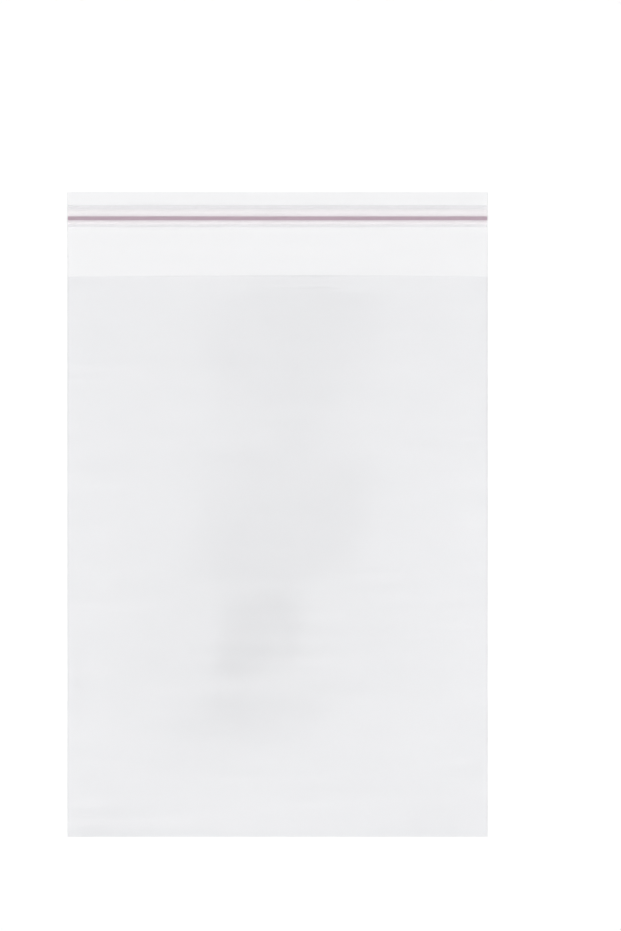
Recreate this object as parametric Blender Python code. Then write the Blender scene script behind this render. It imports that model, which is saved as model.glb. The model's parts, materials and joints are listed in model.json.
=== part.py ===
"""A self-seal plastic bag of clear film, lying flat on its back with its flap open.

One web of film is folded at the bottom and welded along both sides, which leaves a pocket with
its mouth below the flap. The flap carries a band of adhesive, covered by a peel-off liner that
has a coloured line printed along it.

Frame: metres, +Z up. X runs across the bag, +Y runs from the bottom fold to the flap's free edge,
and the origin is under the middle of the bag, on the surface it lies on.
"""

import math

import bmesh
import bpy

# Bag film. Bags of this kind are named by the pocket's width and length, and the flap is extra.
POCKET_WIDTH = 0.150
POCKET_LENGTH = 0.200
FLAP_LENGTH = 0.030
FILM_THICKNESS = 0.00005

# Side welds, where a hot knife trims both films and fuses them into a bead.
WELD_WIDTH = 0.0012
WELD_BEAD_THICKNESS = 0.00014

# How far the front film stands off the back film, along the middle of the bag.
BELLY_GAP = 0.0080
BELLY_FROM_FOLD = 0.075
MOUTH_GAP = 0.0062

# Closing strip on the flap. The line is printed on the liner's face.
LINER_FROM_EDGE = 0.0045
LINER_WIDTH = 0.0078
LINER_THICKNESS = 0.00004
ADHESIVE_WIDTH = 0.005
ADHESIVE_THICKNESS = 0.00004
LINE_WIDTH = 0.0013
LINE_FROM_LINER_EDGE = 0.0047
LINE_THICKNESS = 0.00002
LAYER_GAP = 0.0003

# Facets of the curved film.
COLUMNS = 20
BELLY_ROWS = 12
MOUTH_ROWS = 14
FOLD_STEPS = 4

BOTTOM_Y = -(POCKET_LENGTH + FLAP_LENGTH) / 2
CREASE_Y = BOTTOM_Y + FILM_THICKNESS
BELLY_Y = BOTTOM_Y + BELLY_FROM_FOLD
MOUTH_Y = BOTTOM_Y + POCKET_LENGTH
FLAP_EDGE_Y = MOUTH_Y + FLAP_LENGTH
SIDE_X = POCKET_WIDTH / 2
WELD_X = SIDE_X - WELD_WIDTH


def clear_scene():
    for obj in list(bpy.data.objects):
        bpy.data.objects.remove(obj, do_unlink=True)


def plastic(name, colour, roughness, alpha):
    """A Principled plastic that lets part of what lies behind it show."""
    material = bpy.data.materials.new(name)
    material.use_nodes = True
    shader = material.node_tree.nodes["Principled BSDF"]
    shader.inputs["Base Color"].default_value = (*colour, 1)
    shader.inputs["Roughness"].default_value = roughness
    shader.inputs["Metallic"].default_value = 0
    shader.inputs["Alpha"].default_value = alpha
    return material


def add_object(name, bm, material, parent):
    """Makes a named object of one material from a bmesh, with its faces pointing out."""
    bmesh.ops.recalc_face_normals(bm, faces=bm.faces)
    mesh = bpy.data.meshes.new(name)
    bm.to_mesh(mesh)
    bm.free()
    mesh.materials.append(material)
    obj = bpy.data.objects.new(name, mesh)
    obj.parent = parent
    bpy.context.scene.collection.objects.link(obj)
    return obj


def steps(start, end, count):
    """Evenly spaced values from start to end, both included."""
    return [start + (end - start) * i / count for i in range(count + 1)]


def stand_off(x, y):
    """Clear height between the two films, which is none at the welds and at the bottom crease."""
    if y < BELLY_Y:
        along = BELLY_GAP * math.sin(math.pi / 2 * (y - CREASE_Y) / (BELLY_Y - CREASE_Y))
    else:
        ease = (1 - math.cos(math.pi * (y - BELLY_Y) / (MOUTH_Y - BELLY_Y))) / 2
        along = BELLY_GAP + (MOUTH_GAP - BELLY_GAP) * ease
    return along * (1 - (x / WELD_X) ** 2)


def front_height(x, y):
    """Height of the front film's outer face. It thickens into the bead at the cut sides."""
    if abs(x) > WELD_X:
        return WELD_BEAD_THICKNESS
    return 2 * FILM_THICKNESS + stand_off(x, y)


def add_row(bm, xs, y, height):
    """A row of vertices across the bag, at the height that the function gives for each x and y."""
    return [bm.verts.new((x, y, height(x, y))) for x in xs]


def skin(bm, rows):
    """Faces between neighbouring rows, which are triangles where two rows share a vertex."""
    for near, far in zip(rows, rows[1:]):
        for quad in zip(near, near[1:], far[1:], far):
            corners = list(dict.fromkeys(quad))
            if len(corners) > 2:
                bm.faces.new(corners)


def bag_film(parent):
    """The folded and welded web: back wall with its flap, bottom fold, front wall, side welds."""
    bm = bmesh.new()
    pocket_xs = steps(-WELD_X, WELD_X, COLUMNS)
    xs = [-SIDE_X, *pocket_xs, SIDE_X]
    ys = [*steps(CREASE_Y, BELLY_Y, BELLY_ROWS), *steps(BELLY_Y, MOUTH_Y, MOUTH_ROWS)[1:]]

    def under_height(x, y):
        return 0

    def floor_height(x, y):
        return FILM_THICKNESS

    def ceiling_height(x, y):
        return FILM_THICKNESS + stand_off(x, y)

    # The outside runs from the flap's edge under the bag, round the fold and up to the mouth.
    under = [add_row(bm, xs, y, under_height) for y in (FLAP_EDGE_Y, *reversed(ys))]
    fold = []
    for turn in steps(0, math.pi, FOLD_STEPS)[1:-1]:
        share = (1 - math.cos(turn)) / 2
        nose_y = CREASE_Y - FILM_THICKNESS * math.sin(turn)
        fold.append(
            add_row(bm, xs, nose_y, lambda x, y, share=share: share * front_height(x, CREASE_Y))
        )
    front = [add_row(bm, xs, y, front_height) for y in ys]
    skin(bm, [*under, *fold, *front])

    # The inside is the back wall's floor and the front wall's ceiling. The two share vertices
    # where the films meet, along the bottom crease and both welds.
    floor = [add_row(bm, pocket_xs, y, floor_height) for y in ys]
    ceiling = [floor[0]]
    for y, below in zip(ys[1:], floor[1:]):
        ceiling.append([below[0], *add_row(bm, pocket_xs[1:-1], y, ceiling_height), below[-1]])
    skin(bm, floor)
    skin(bm, ceiling)

    # At the mouth the front film ends in a lip, and the back film runs on as the flap.
    left, right = add_row(bm, (-SIDE_X, SIDE_X), MOUTH_Y, floor_height)
    flap_edge = add_row(bm, xs, FLAP_EDGE_Y, floor_height)
    skin(bm, [[left, *ceiling[-1], right], front[-1]])
    skin(bm, [[left, *floor[-1], right], flap_edge, under[0]])

    # Each cut side is one narrow profile round the weld and the flap.
    for side, mouth in ((0, left), (-1, right)):
        bm.faces.new([row[side] for row in (*under, *fold, *front)] + [mouth, flap_edge[side]])

    film = plastic("bag_film", (0.90, 0.90, 0.92), roughness=0.25, alpha=0.55)
    obj = add_object("bag_film", bm, film, parent)
    obj.data.shade_smooth()
    obj.data.set_sharp_from_angle(angle=math.radians(20))


def strip(name, width, thickness, middle_y, base_z, material, parent):
    """A flat band that runs across the flap, from one cut side to the other."""
    bm = bmesh.new()
    bmesh.ops.create_cube(bm, size=1)
    bmesh.ops.scale(bm, vec=(POCKET_WIDTH, width, thickness), verts=bm.verts)
    obj = add_object(name, bm, material, parent)
    obj.location = (0, middle_y, base_z + thickness / 2)


def closing_strip(parent):
    """The adhesive on the flap, the liner over it and the line printed on the liner."""
    adhesive = plastic("adhesive", (0.80, 0.80, 0.78), roughness=0.15, alpha=0.5)
    liner = plastic("liner_film", (0.86, 0.85, 0.86), roughness=0.3, alpha=0.6)
    ink = plastic("guide_line_ink", (0.47, 0.30, 0.38), roughness=0.4, alpha=1)

    liner_edge_y = FLAP_EDGE_Y - LINER_FROM_EDGE
    liner_y = liner_edge_y - LINER_WIDTH / 2
    line_y = liner_edge_y - LINE_FROM_LINER_EDGE
    adhesive_z = FILM_THICKNESS + LAYER_GAP
    liner_z = adhesive_z + ADHESIVE_THICKNESS + LAYER_GAP
    line_z = liner_z + LINER_THICKNESS + LAYER_GAP

    strip("adhesive_strip", ADHESIVE_WIDTH, ADHESIVE_THICKNESS, liner_y, adhesive_z, adhesive, parent)
    strip("release_liner", LINER_WIDTH, LINER_THICKNESS, liner_y, liner_z, liner, parent)
    strip("liner_guide_line", LINE_WIDTH, LINE_THICKNESS, line_y, line_z, ink, parent)


def self_seal_bag():
    clear_scene()
    bag = bpy.data.objects.new("self_seal_bag", None)
    bpy.context.scene.collection.objects.link(bag)
    bag_film(bag)
    closing_strip(bag)


self_seal_bag()
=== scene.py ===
"""A self-seal bag of clear film, lying on its back with its flap open, seen from straight above."""

import json
import math

import bpy
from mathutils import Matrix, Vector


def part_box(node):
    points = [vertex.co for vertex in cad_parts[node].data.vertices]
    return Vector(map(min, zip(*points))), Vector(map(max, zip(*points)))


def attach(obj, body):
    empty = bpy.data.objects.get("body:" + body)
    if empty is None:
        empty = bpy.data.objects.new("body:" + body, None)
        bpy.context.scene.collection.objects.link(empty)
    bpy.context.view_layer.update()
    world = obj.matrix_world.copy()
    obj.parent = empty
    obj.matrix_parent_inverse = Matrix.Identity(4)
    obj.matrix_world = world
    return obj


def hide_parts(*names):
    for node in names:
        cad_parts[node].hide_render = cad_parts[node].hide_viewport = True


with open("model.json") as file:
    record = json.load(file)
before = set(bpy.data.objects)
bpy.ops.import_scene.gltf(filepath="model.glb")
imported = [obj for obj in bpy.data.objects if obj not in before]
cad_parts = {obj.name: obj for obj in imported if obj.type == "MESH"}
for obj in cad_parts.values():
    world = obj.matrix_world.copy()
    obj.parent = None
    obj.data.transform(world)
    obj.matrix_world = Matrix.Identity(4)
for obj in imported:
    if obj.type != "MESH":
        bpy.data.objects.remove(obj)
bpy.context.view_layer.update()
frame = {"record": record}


# The bag is one flat web of clear polypropylene film, 0.05 mm thick. It is folded at the bottom,
# so that its front half ends at the mouth and its back half runs on as the flap. The web starts
# here as a flat grid, as it is cut, and a rule folds it and lays it down.
FILM = 0.00005
BEAD_RADIUS = 0.00009
WELD_WIDTH = 0.0012
BELLY_FROM_FOLD = 0.075
BELLY_HALF = 0.010
DIP_FROM_FOLD = 0.140
DIP_GAP = 0.0056
MOUTH_GAP = 0.0062
CELL = 0.00125
SHARP_FROM_DEGREES = 40
SEED = 3.0

film_low, film_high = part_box("bag_film")
pocket = frame["record"]["physics"]["openings"][0]["box_m"]
bag_width = film_high[0] - film_low[0]
bottom_y = film_low[1]
mouth_y = pocket[1][1]
flap_edge_y = film_high[1]
front_length = mouth_y - bottom_y
web_length = front_length + flap_edge_y - bottom_y
belly_gap = film_high[2] - 2 * FILM
belly_y = bottom_y + BELLY_FROM_FOLD
dip_y = bottom_y + DIP_FROM_FOLD
weld_x = bag_width / 2 - WELD_WIDTH


def feed(tree, socket, value):
    """Links a socket to another node's socket, or sets it to a plain value."""
    if isinstance(value, bpy.types.NodeSocket):
        tree.links.new(value, socket)
    else:
        socket.default_value = value


def add(tree, kind, *values, **options):
    """A node with its options set and its inputs fed in order, where None leaves one alone."""
    node = tree.nodes.new(kind)
    for name, option in options.items():
        setattr(node, name, option)
    for socket, value in zip(node.inputs, values):
        if value is not None:
            feed(tree, socket, value)
    return node


def maths(tree, operation, *values):
    return add(tree, "ShaderNodeMath", *values, operation=operation).outputs[0]


def product(tree, first, *others):
    for other in others:
        first = maths(tree, "MULTIPLY", first, other)
    return first


def total(tree, first, *others):
    for other in others:
        first = maths(tree, "ADD", first, other)
    return first


def ease(tree, value, start, end, low=0.0, high=1.0):
    """A value that eases from low to high between start and end, and holds beyond them."""
    options = {"interpolation_type": "SMOOTHSTEP"}
    return add(tree, "ShaderNodeMapRange", value, start, end, low, high, **options).outputs[0]


def vector(tree, x, y, z):
    return add(tree, "ShaderNodeCombineXYZ", x, y, z).outputs[0]


def noise(tree, place, waves, detail=1.0):
    """Noise round zero, from about -0.5 to 0.5, with so many waves in a metre."""
    node = tree.nodes.new("ShaderNodeTexNoise")
    feed(tree, node.inputs["Vector"], place)
    feed(tree, node.inputs["Scale"], waves)
    node.inputs["Detail"].default_value = detail
    return maths(tree, "SUBTRACT", node.outputs[0], 0.5)


def back_film_height(tree, x, y, seed):
    """The upper face of the back film. It lies on the table with a slight wave, and curls up a
    little at the flap's free edge, more in some places than in others."""
    lies_at, wave_height, waves = 0.0001, 0.0003, 22.0
    curl, curl_reach, curl_waves, usual_share = 0.0010, 0.016, 11.0, 0.8
    wave = maths(tree, "ADD", noise(tree, vector(tree, x, y, seed), waves), 0.5)
    lift = ease(tree, y, flap_edge_y - curl_reach, flap_edge_y, 0.0, curl)
    uneven = maths(tree, "ADD", noise(tree, vector(tree, x, seed, 0.0), curl_waves), usual_share)
    return total(tree, product(tree, wave, wave_height), product(tree, lift, uneven), lies_at)


def film_gap(tree, x, y):
    """How far the front film stands off the back film: nothing at the welds and the fold, and
    most at the belly. It dips before the mouth, which gapes a little, and its ridge runs aslant."""
    slant_at_fold, slant_at_mouth, flatness = -0.35, 0.40, 2.4
    across = maths(tree, "DIVIDE", x, weld_x)
    falling = maths(tree, "POWER", maths(tree, "ABSOLUTE", across), flatness)
    rounded = maths(tree, "MAXIMUM", maths(tree, "SUBTRACT", 1.0, falling), 0.0)
    slant = ease(tree, y, bottom_y, mouth_y, slant_at_fold, slant_at_mouth)
    slanted = maths(tree, "MULTIPLY_ADD", slant, across, 1.0)
    belly_start, belly_end = belly_y - BELLY_HALF, belly_y + BELLY_HALF
    turn = add(tree, "ShaderNodeMapRange", y, bottom_y, belly_start, 0.0, math.pi / 2).outputs[0]
    down = ease(tree, y, belly_end, dip_y, belly_gap, DIP_GAP)
    up = ease(tree, y, dip_y, mouth_y, 0.0, MOUTH_GAP - DIP_GAP)
    return product(tree, rounded, slanted, maths(tree, "SINE", turn), total(tree, down, up))


def gathers(tree, along, across, from_seam, reach, seed):
    """Small puckers that run off a seam and fade out, from -1 to 1."""
    puckers, drawn_out, fullest_at = 120.0, 0.22, 0.002
    place = vector(tree, product(tree, across, drawn_out), along, seed)
    near = ease(tree, from_seam, 0.0, fullest_at)
    fading = ease(tree, from_seam, fullest_at, reach, 1.0, 0.0)
    return product(tree, noise(tree, place, puckers, detail=1.5), 2.0, near, fading)


def front_film_height(tree, x, y, seed):
    """The lower face of the front film: its gap, the soft waves and faint crinkles of slack film,
    the puckers that welds and fold leave beside them, and a slight flare at the cut lip."""
    hairline, wave_height, crinkle_height, pucker_height = 0.00002, 0.0011, 0.00016, 0.00012
    waves, crinkles, wave_stretch, crinkle_stretch = 17.0, 62.0, 0.8, 0.7
    side_reach, fold_reach, corner = 0.020, 0.026, 0.020
    flare, flare_reach, slack_from = 0.0006, 0.007, 0.004
    gap = film_gap(tree, x, y)
    slack = ease(tree, gap, 0.0, slack_from)
    wave = noise(tree, vector(tree, x, product(tree, y, wave_stretch), seed), waves)
    crinkle_place = vector(tree, x, product(tree, y, crinkle_stretch), seed)
    crinkle = noise(tree, crinkle_place, crinkles, detail=1.5)
    from_weld = maths(tree, "SUBTRACT", weld_x, maths(tree, "ABSOLUTE", x))
    from_fold = maths(tree, "SUBTRACT", y, bottom_y + FILM)
    off_weld = ease(tree, from_weld, 0.0, corner)
    off_fold = ease(tree, from_fold, 0.0, corner)
    side_puckers = product(tree, gathers(tree, y, x, from_weld, side_reach, seed), off_fold)
    fold_puckers = product(tree, gathers(tree, x, y, from_fold, fold_reach, seed), off_weld)
    lip = ease(tree, y, mouth_y - flare_reach, mouth_y)
    return total(
        tree,
        back_film_height(tree, x, y, seed),
        gap,
        hairline,
        product(tree, wave, slack, wave_height),
        product(tree, crinkle, slack, crinkle_height),
        product(tree, side_puckers, pucker_height),
        product(tree, fold_puckers, pucker_height),
        product(tree, lip, lip, slack, flare),
    )


def shape_tree(name, **inputs):
    """A Geometry Nodes tree with named inputs, and what its Group Input node gives."""
    tree = bpy.data.node_groups.new(name, "GeometryNodeTree")
    for label, kind in inputs.items():
        tree.interface.new_socket(label, in_out="INPUT", socket_type="NodeSocket" + kind)
    tree.interface.new_socket("Shape", in_out="OUTPUT", socket_type="NodeSocketGeometry")
    return tree, tree.nodes.new("NodeGroupInput").outputs


def finish_tree(tree, shape, material):
    """Ends a Geometry Nodes tree in a smooth, plain mesh of one material."""
    smooth = add(tree, "GeometryNodeSetShadeSmooth", shape)
    real = add(tree, "GeometryNodeRealizeInstances", smooth.outputs[0])
    dressed = add(tree, "GeometryNodeSetMaterial", real.outputs[0])
    feed(tree, dressed.inputs["Material"], material)
    add(tree, "NodeGroupOutput", dressed.outputs[0])


def make_piece(name, tree, wall=0.0, **inputs):
    """Runs a tree into a plain mesh object. A sheet gets its wall on the side it faces away from."""
    maker = bpy.data.objects.new(name, bpy.data.meshes.new(name))
    bpy.context.scene.collection.objects.link(maker)
    modifier = maker.modifiers.new("Shape", "NODES")
    modifier.node_group = tree
    for item in tree.interface.items_tree:
        if item.in_out == "INPUT":
            modifier[item.identifier] = inputs[item.name]
    if wall:
        solid = maker.modifiers.new("Wall", "SOLIDIFY")
        solid.thickness = wall
        solid.offset = -1
    maker.update_tag()
    graph = bpy.context.evaluated_depsgraph_get()
    mesh = bpy.data.meshes.new_from_object(maker.evaluated_get(graph))
    bpy.data.objects.remove(maker)
    mesh.set_sharp_from_angle(angle=math.radians(SHARP_FROM_DEGREES))
    piece = bpy.data.objects.new(name, mesh)
    bpy.context.scene.collection.objects.link(piece)
    return piece


web, given = shape_tree(
    "Folded web",
    Width="Float",
    Length="Float",
    Front_Length="Float",
    Columns="Int",
    Rows="Int",
    Seed="Float",
    Material="Material",
)
grid = add(
    web, "GeometryNodeMeshGrid", given["Width"], given["Length"], given["Columns"], given["Rows"]
)
spot = add(web, "ShaderNodeSeparateXYZ", add(web, "GeometryNodeInputPosition").outputs[0]).outputs
from_lip = total(web, spot[1], product(web, given["Length"], 0.5))
past_fold = maths(web, "SUBTRACT", from_lip, given["Front_Length"])
web_y = total(web, maths(web, "ABSOLUTE", past_fold), bottom_y + FILM)
on_back = maths(web, "GREATER_THAN", past_fold, CELL / 4)
front_z = front_film_height(web, spot[0], web_y, given["Seed"])
back_z = back_film_height(web, spot[0], web_y, given["Seed"])
web_z = add(web, "ShaderNodeMix", on_back, None, front_z, back_z).outputs[0]
folded = add(web, "GeometryNodeSetPosition", grid.outputs["Mesh"])
feed(web, folded.inputs["Position"], vector(web, spot[0], web_y, web_z))
finish_tree(web, folded.outputs[0], given["Material"])


def new_material(name):
    """A node material with nothing in it but its output."""
    material = bpy.data.materials.new(name)
    material.use_nodes = True
    tree = material.node_tree
    tree.nodes.clear()
    return material, tree, tree.nodes.new("ShaderNodeOutputMaterial").inputs["Surface"]


def plastic(tree, **settings):
    """A Principled shader with its sockets fed by name, in which _ stands for a space."""
    shader = tree.nodes.new("ShaderNodeBsdfPrincipled")
    for name, value in settings.items():
        feed(tree, shader.inputs[name.replace("_", " ")], value)
    return shader.outputs[0]


def rippled(tree, height, depth):
    """The normal of a surface with fine ripples in it."""
    node = tree.nodes.new("ShaderNodeBump")
    node.inputs["Distance"].default_value = depth
    feed(tree, node.inputs["Height"], height)
    return node.outputs[0]


def blend(tree, share, first, second):
    """A colour between two others."""
    node = tree.nodes.new("ShaderNodeMix")
    node.data_type = "RGBA"
    feed(tree, node.inputs[0], share)
    feed(tree, node.inputs[6], first)
    feed(tree, node.inputs[7], second)
    return node.outputs[2]


# Each film and coating here was drawn off a roll along X, which leaves faint streaks that way.
# Between the streaks its surface has a fine, even grain.
STREAK_HEIGHT, GRAIN_HEIGHT = 0.6, 0.4
drawn = bpy.data.node_groups.new("Drawn off a roll", "ShaderNodeTree")
for label in ("Streaks", "Stretch", "Grains"):
    drawn.interface.new_socket(label, in_out="INPUT", socket_type="NodeSocketFloat")
for label in ("Streak", "Height"):
    drawn.interface.new_socket(label, in_out="OUTPUT", socket_type="NodeSocketFloat")
knobs = drawn.nodes.new("NodeGroupInput").outputs
place = drawn.nodes.new("ShaderNodeTexCoord").outputs["Object"]
axes = add(drawn, "ShaderNodeSeparateXYZ", place).outputs
pulled = vector(drawn, maths(drawn, "DIVIDE", axes[0], knobs["Stretch"]), axes[1], axes[2])
streak = noise(drawn, pulled, knobs["Streaks"], detail=2.0)
grain = noise(drawn, place, knobs["Grains"], detail=2.0)
ends = drawn.nodes.new("NodeGroupOutput").inputs
feed(drawn, ends["Streak"], ease(drawn, streak, -0.35, 0.35))
streak_height = product(drawn, streak, STREAK_HEIGHT)
feed(drawn, ends["Height"], total(drawn, streak_height, product(drawn, grain, GRAIN_HEIGHT)))


def off_the_roll(tree, streaks, stretch, grains):
    """Places a roll's marks in a material: streaks and grains in a metre, and the streaks' stretch."""
    node = tree.nodes.new("ShaderNodeGroup")
    node.node_tree = drawn
    node.inputs["Streaks"].default_value = streaks
    node.inputs["Stretch"].default_value = stretch
    node.inputs["Grains"].default_value = grains
    return node.outputs["Streak"], node.outputs["Height"]


def lets_light_by(tree, shader, tint):
    """Shows and mirrors as the shader does, while light that falls through, or that the table
    sends back, goes straight on and loses only a little."""
    passing = add(tree, "ShaderNodeBsdfTransparent", tint).outputs[0]
    path = tree.nodes.new("ShaderNodeLightPath").outputs
    straight = maths(tree, "MAXIMUM", path["Is Shadow Ray"], path["Is Diffuse Ray"])
    return add(tree, "ShaderNodeMixShader", straight, shader, passing).outputs[0]


clear_film, tree, out = new_material("clear_film")
streak, height = off_the_roll(tree, 260.0, 14.0, 450.0)
film = plastic(
    tree,
    Base_Color=blend(tree, streak, (0.905, 0.907, 0.912, 1), (0.919, 0.920, 0.925, 1)),
    Roughness=0.11,
    IOR=1.49,
    Transmission_Weight=1.0,
    Normal=rippled(tree, height, 0.000008),
)
feed(tree, out, lets_light_by(tree, film, (0.986, 0.986, 0.989, 1)))

bag_web = make_piece(
    "bag_web",
    web,
    wall=FILM,
    Width=bag_width - 2 * BEAD_RADIUS,
    Length=web_length,
    Front_Length=front_length,
    Columns=round(bag_width / CELL) + 1,
    Rows=round(web_length / CELL) + 1,
    Seed=SEED,
    Material=clear_film,
)
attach(bag_web, "root")
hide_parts("bag_film")


# A hot knife cuts the bag from the web and fuses front and back along each side. The melted film
# draws up into a fine bead on the cut edge, from the fold to the flap's free edge.
BEAD_SIDES, BEAD_POINTS, SWELLINGS = 8, 320, 180.0

bead, given = shape_tree(
    "Side welds",
    Side="Float",
    Bottom="Float",
    Top="Float",
    Radius="Float",
    Points="Int",
    Seed="Float",
    Material="Material",
)
beads = bead.nodes.new("GeometryNodeJoinGeometry")
for side in (-1, 1):
    edge_x = product(bead, given["Side"], side)
    run = add(bead, "GeometryNodeCurvePrimitiveLine")
    feed(bead, run.inputs["Start"], vector(bead, edge_x, given["Bottom"], 0.0))
    feed(bead, run.inputs["End"], vector(bead, edge_x, given["Top"], 0.0))
    run = add(bead, "GeometryNodeResampleCurve", run.outputs[0], None, None, given["Points"])
    spot = add(bead, "GeometryNodeInputPosition").outputs[0]
    spots = add(bead, "ShaderNodeSeparateXYZ", spot).outputs
    lies_at = back_film_height(bead, spots[0], spots[1], given["Seed"])
    run = add(bead, "GeometryNodeSetPosition", run.outputs[0])
    feed(bead, run.inputs["Offset"], vector(bead, 0.0, 0.0, lies_at))
    swelling = total(bead, 1.0, noise(bead, vector(bead, side, spots[1], 0.0), SWELLINGS))
    run = add(bead, "GeometryNodeSetCurveRadius", run.outputs[0], None, swelling)
    section = add(bead, "GeometryNodeCurvePrimitiveCircle", BEAD_SIDES)
    feed(bead, section.inputs["Radius"], given["Radius"])
    tube = add(bead, "GeometryNodeCurveToMesh", run.outputs[0], section.outputs[0])
    feed(bead, tube.inputs["Fill Caps"], True)
    feed(bead, beads.inputs[0], tube.outputs[0])
finish_tree(bead, beads.outputs[0], given["Material"])

side_welds = make_piece(
    "side_welds",
    bead,
    Side=bag_width / 2 - BEAD_RADIUS,
    Bottom=bottom_y + BEAD_RADIUS,
    Top=flap_edge_y - BEAD_RADIUS,
    Radius=BEAD_RADIUS,
    Points=BEAD_POINTS,
    Seed=SEED,
    Material=clear_film,
)
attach(side_welds, "root")
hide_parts("bag_film")


# A die lays a band of clear hot-melt adhesive along the web before it is folded. It follows the
# flap, its edges waver a little, and the coating has faint streaks along it.
STRIP_CELL = 0.0005
LEAST_ROWS = 4
LAYER_AIR = 0.00001
WAVERS, LOOSE_PLACES, LIFT_BEND = 160.0, 35.0, 6.0

strip, given = shape_tree(
    "Strip on the flap",
    Length="Float",
    Width="Float",
    Middle="Float",
    Rise="Float",
    Waver="Float",
    Edge_Lift="Float",
    Columns="Int",
    Rows="Int",
    Seed="Float",
    Material="Material",
)
grid = add(
    strip, "GeometryNodeMeshGrid", given["Length"], given["Width"], given["Columns"], given["Rows"]
)
spot = add(strip, "ShaderNodeSeparateXYZ", add(strip, "GeometryNodeInputPosition").outputs[0]).outputs
to_edge = maths(strip, "DIVIDE", spot[1], product(strip, given["Width"], 0.5))
off_middle = maths(strip, "ABSOLUTE", to_edge)
edge_place = vector(strip, spot[0], given["Seed"], maths(strip, "SIGN", to_edge))
wavering = product(strip, noise(strip, edge_place, WAVERS, 2.0), given["Waver"], off_middle)
strip_y = total(strip, given["Middle"], spot[1], wavering)
loose = total(strip, 0.5, noise(strip, vector(strip, spot[0], given["Seed"], 0.0), LOOSE_PLACES))
strip_z = total(
    strip,
    back_film_height(strip, spot[0], strip_y, given["Seed"]),
    given["Rise"],
    product(strip, maths(strip, "POWER", off_middle, LIFT_BEND), loose, given["Edge_Lift"]),
)
laid = add(strip, "GeometryNodeSetPosition", grid.outputs["Mesh"])
feed(strip, laid.inputs["Position"], vector(strip, spot[0], strip_y, strip_z))
finish_tree(strip, laid.outputs[0], given["Material"])


def flap_strip(name, node, material, wall, rise, waver=0.0, edge_lift=0.0):
    """A strip across the flap, as wide as its CAD node, that ends in the beads on the cut sides.
    Its upper face is at the given rise above the film."""
    low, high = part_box(node)
    piece = make_piece(
        name,
        strip,
        wall=wall,
        Length=high[0] - low[0] - 4 * BEAD_RADIUS,
        Width=high[1] - low[1],
        Middle=(low[1] + high[1]) / 2,
        Rise=rise,
        Waver=waver,
        Edge_Lift=edge_lift,
        Columns=round((high[0] - low[0]) / STRIP_CELL) + 1,
        Rows=max(LEAST_ROWS, round((high[1] - low[1]) / STRIP_CELL)) + 1,
        Seed=SEED,
        Material=material,
    )
    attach(piece, "root")
    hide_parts(node)
    return piece


ADHESIVE = 0.00004
adhesive, tree, out = new_material("hot_melt_adhesive")
streak, height = off_the_roll(tree, 1900.0, 20.0, 900.0)
glue = plastic(
    tree,
    Base_Color=blend(tree, streak, (0.980, 0.980, 0.970, 1), (0.995, 0.995, 0.985, 1)),
    Roughness=0.3,
    IOR=1.48,
    Transmission_Weight=1.0,
    Normal=rippled(tree, height, 0.000006),
)
feed(tree, out, lets_light_by(tree, glue, (0.99, 0.99, 0.99, 1)))
adhesive_top = LAYER_AIR + ADHESIVE
flap_strip("adhesive_band", "adhesive_strip", adhesive, ADHESIVE, adhesive_top, waver=0.0004)


# A liner of thin release film covers the adhesive until the bag is closed. Its edges reach past
# the adhesive, so they lie a little loose and give a fingernail something to lift. Painted shade
# greys its edges, most of all the upper one, and the ink of the line on it tints it on either side.
LINER = 0.00004
EDGE_SHADE_TO, EDGE_SHADE_GONE, TINTED_SIDE = 0.0006, 0.0013, 0.0022
(_, liner_low_y, _), (_, liner_high_y, _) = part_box("release_liner")
(_, line_low_y, _), (_, line_high_y, _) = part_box("liner_guide_line")
liner_film, tree, out = new_material("liner_film")
streak, height = off_the_roll(tree, 900.0, 6.0, 700.0)
place = tree.nodes.new("ShaderNodeTexCoord").outputs["Object"]
place_y = add(tree, "ShaderNodeSeparateXYZ", place).outputs[1]
from_low = maths(tree, "SUBTRACT", place_y, liner_low_y)
from_high = product(tree, maths(tree, "SUBTRACT", liner_high_y, place_y), 0.5)
# Painted shade: a grey band along each edge of the liner, twice as wide along the upper one.
painted_edge_shade = ease(tree, maths(tree, "MINIMUM", from_low, from_high), EDGE_SHADE_TO, EDGE_SHADE_GONE, 1.0, 0.0)
from_line = maths(tree, "ABSOLUTE", maths(tree, "SUBTRACT", place_y, (line_low_y + line_high_y) / 2))
tinted = ease(tree, from_line, 0.0, TINTED_SIDE, 1.0, 0.0)
colour = blend(tree, streak, (0.988, 0.966, 0.975, 1), (0.996, 0.974, 0.983, 1))
colour = blend(tree, tinted, colour, (1.0, 0.935, 0.980, 1))
# The grey of the painted shade along the liner's edges.
colour = blend(tree, painted_edge_shade, colour, (0.885, 0.880, 0.890, 1))
liner = plastic(
    tree,
    Base_Color=colour,
    Roughness=0.22,
    IOR=1.49,
    Transmission_Weight=0.92,
    Normal=rippled(tree, height, 0.000005),
)
feed(tree, out, lets_light_by(tree, liner, (0.985, 0.98, 0.985, 1)))
liner_top = adhesive_top + LAYER_AIR + LINER
flap_strip(
    "release_liner_film", "release_liner", liner_film, LINER, liner_top, edge_lift=0.00018
)


# A mauve line is printed along the liner, a little below its middle. It is a coat of ink of a
# hundredth of a millimetre, and shows where to peel.
INK = 0.00001
line_ink, tree, out = new_material("line_ink")
streak, height = off_the_roll(tree, 1500.0, 5.0, 2500.0)
ink = plastic(
    tree,
    Base_Color=blend(tree, streak, (0.43, 0.32, 0.38, 1), (0.48, 0.37, 0.43, 1)),
    Roughness=0.4,
    IOR=1.45,
    Normal=rippled(tree, height, 0.000006),
)
feed(tree, out, ink)
line_top = liner_top + LAYER_AIR + INK
flap_strip("printed_line", "liner_guide_line", line_ink, INK, line_top, waver=0.00008)


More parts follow.
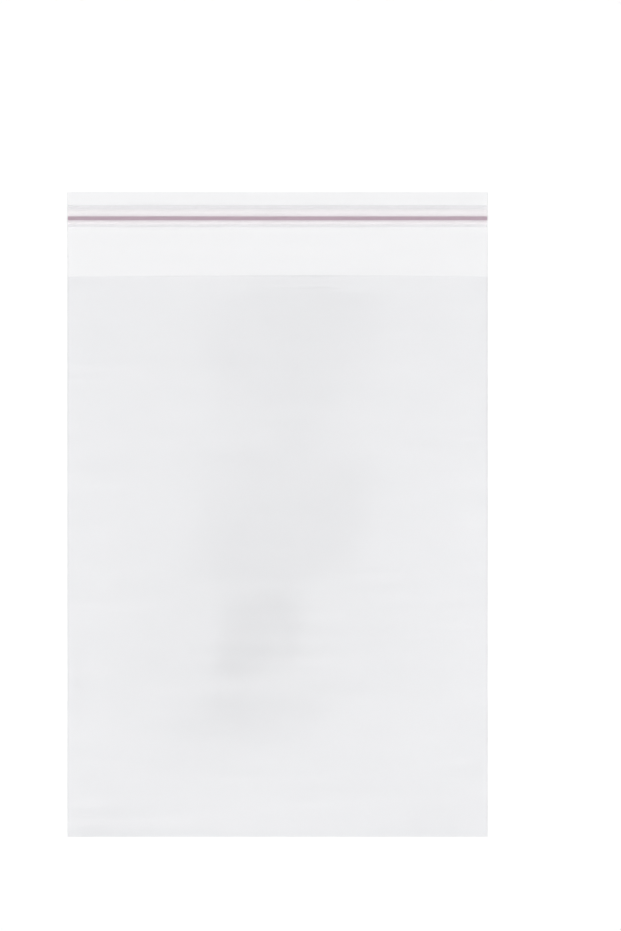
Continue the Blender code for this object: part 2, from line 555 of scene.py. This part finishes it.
# The table is white and reaches far past the picture. What the camera and the film see of it is
# a full white, and the light that it sends back is that of a real white table.
FLOOR_HALF = 6.0
floor_mesh = bpy.data.meshes.new("table")
corners = [(x * FLOOR_HALF, y * FLOOR_HALF, 0) for x, y in ((-1, -1), (1, -1), (1, 1), (-1, 1))]
floor_mesh.from_pydata(corners, [], [(0, 1, 2, 3)])
table = bpy.data.objects.new("table", floor_mesh)
bpy.context.scene.collection.objects.link(table)

white, tree, out = new_material("white_table")
path = tree.nodes.new("ShaderNodeLightPath").outputs
seen = maths(tree, "MAXIMUM", path["Is Camera Ray"], path["Is Glossy Ray"])
seen = maths(tree, "MAXIMUM", seen, path["Is Transmission Ray"])
paint = blend(tree, seen, (0.8, 0.8, 0.8, 1), (1, 1, 1, 1))
feed(tree, out, add(tree, "ShaderNodeBsdfDiffuse", paint).outputs[0])
floor_mesh.materials.append(white)


# The light is a pale dome on dimmer walls, with seven strip lights that give the film its
# highlights. The camera, its stand and the arm that holds it show dimly in the film.
DOME_LIGHT, DOME_RIM, WALL_LIGHT, HORIZON_LIGHT = 1.40, 0.20, 0.24, 1.0
# Heights in the room, as the sine of the angle above the horizon, between which one gives way.
DOME_RISE, WALL_TO_DOME, HORIZON_TO_WALL = (0.98, 0.80), (0.68, 0.84), (0.10, 0.25)
CAMERA_PARTS = (
    # direction across and along the bag, half size in each, brightness
    (-0.030, -0.070, 0.120, 0.095, 0.10),
    (-0.040, -0.265, 0.190, 0.150, 0.45),
)
ARM_NEAR, ARM_FAR, ARM_SIDE, ARM_LIGHT = (-0.04, 0.06), (0.10, 0.20), (0.05, 0.23), 0.56
SOFT_SIDE, SOFT_END = 0.03, 0.08
STRIP_LIGHTS = (
    # compass turn and height in degrees, half width, half height, strength
    (-160, 30, 0.030, 0.30, 2.6),
    (-125, 42, 0.050, 0.28, 3.0),
    (-62, 34, 0.035, 0.34, 2.6),
    (-8, 44, 0.030, 0.22, 2.6),
    (35, 38, 0.055, 0.30, 3.0),
    (98, 32, 0.030, 0.34, 2.6),
    (150, 42, 0.040, 0.26, 2.8),
)
world = bpy.data.worlds.new("studio")
bpy.context.scene.world = world
world.use_nodes = True
tree = world.node_tree
tree.nodes.clear()
sky = tree.nodes.new("ShaderNodeTexCoord").outputs["Generated"]
look = add(tree, "ShaderNodeSeparateXYZ", sky).outputs


def apart(value, middle, half):
    """How far a value is from a middle, squared, where 1 is at a half width."""
    off = maths(tree, "DIVIDE", maths(tree, "SUBTRACT", value, middle), half)
    return product(tree, off, off)


def along_axis(axis):
    """How far the direction looked in goes along an axis."""
    node = add(tree, "ShaderNodeVectorMath", sky, axis, operation="DOT_PRODUCT")
    return node.outputs["Value"]


overhead = ease(tree, look[2], *DOME_RISE, DOME_LIGHT, DOME_LIGHT + DOME_RIM)
for across, along, half_across, half_along, light in CAMERA_PARTS:
    away = total(tree, apart(look[0], across, half_across), apart(look[1], along, half_along))
    overhead = product(tree, overhead, ease(tree, maths(tree, "SQRT", away), 0.0, 1.0, light, 1.0))
on_arm = product(
    tree,
    ease(tree, look[1], *ARM_NEAR),
    ease(tree, look[1], *ARM_FAR, 1.0, 0.0),
    ease(tree, maths(tree, "ABSOLUTE", look[0]), *ARM_SIDE, 1.0, 0.0),
)
overhead = product(tree, overhead, ease(tree, on_arm, 0.0, 1.0, 1.0, ARM_LIGHT))
wall = ease(tree, look[2], *HORIZON_TO_WALL, HORIZON_LIGHT, WALL_LIGHT)
above_wall = ease(tree, look[2], *WALL_TO_DOME)
level = add(tree, "ShaderNodeMix", above_wall, None, wall, overhead).outputs[0]
for turn, height, half_width, half_height, strength in STRIP_LIGHTS:
    turn, height = math.radians(turn), math.radians(height)
    towards = (math.sin(turn) * math.cos(height), math.cos(turn) * math.cos(height), math.sin(height))
    right = (math.cos(turn), -math.sin(turn), 0.0)
    up = (-math.sin(turn) * math.sin(height), -math.cos(turn) * math.sin(height), math.cos(height))
    depth = maths(tree, "MAXIMUM", along_axis(towards), 0.01)
    sideways = maths(tree, "DIVIDE", maths(tree, "ABSOLUTE", along_axis(right)), depth)
    upwards = maths(tree, "DIVIDE", maths(tree, "ABSOLUTE", along_axis(up)), depth)
    lit = product(
        tree,
        ease(tree, sideways, half_width, half_width + SOFT_SIDE, 1.0, 0.0),
        ease(tree, upwards, half_height, half_height + SOFT_END, 1.0, 0.0),
        strength,
    )
    level = total(tree, level, lit)
glow = add(tree, "ShaderNodeBackground", (1, 1, 1, 1), level)
feed(tree, tree.nodes.new("ShaderNodeOutputWorld").inputs["Surface"], glow.outputs[0])


# The camera looks straight down from 0.92 m, with the flap at the top of the picture and the
# middle of the bag a little left of and below the middle of the picture.
PICTURE_WIDTH, PICTURE_HEIGHT = 621, 931
BAG_CENTRE_IN_PICTURE = (277.5, 514.75)
PIXELS_PER_METRE = 2800.0
LENS, SENSOR = 100.0, 36.0
camera = bpy.data.objects.new("camera", bpy.data.cameras.new("camera"))
bpy.context.scene.collection.objects.link(camera)
camera.data.lens = LENS
camera.data.sensor_width = SENSOR
camera.location = (
    (PICTURE_WIDTH / 2 - BAG_CENTRE_IN_PICTURE[0]) / PIXELS_PER_METRE,
    (BAG_CENTRE_IN_PICTURE[1] - PICTURE_HEIGHT / 2) / PIXELS_PER_METRE,
    PICTURE_HEIGHT / PIXELS_PER_METRE * LENS / SENSOR,
)
bpy.context.scene.camera = camera
bpy.context.scene.view_settings.view_transform = "Standard"
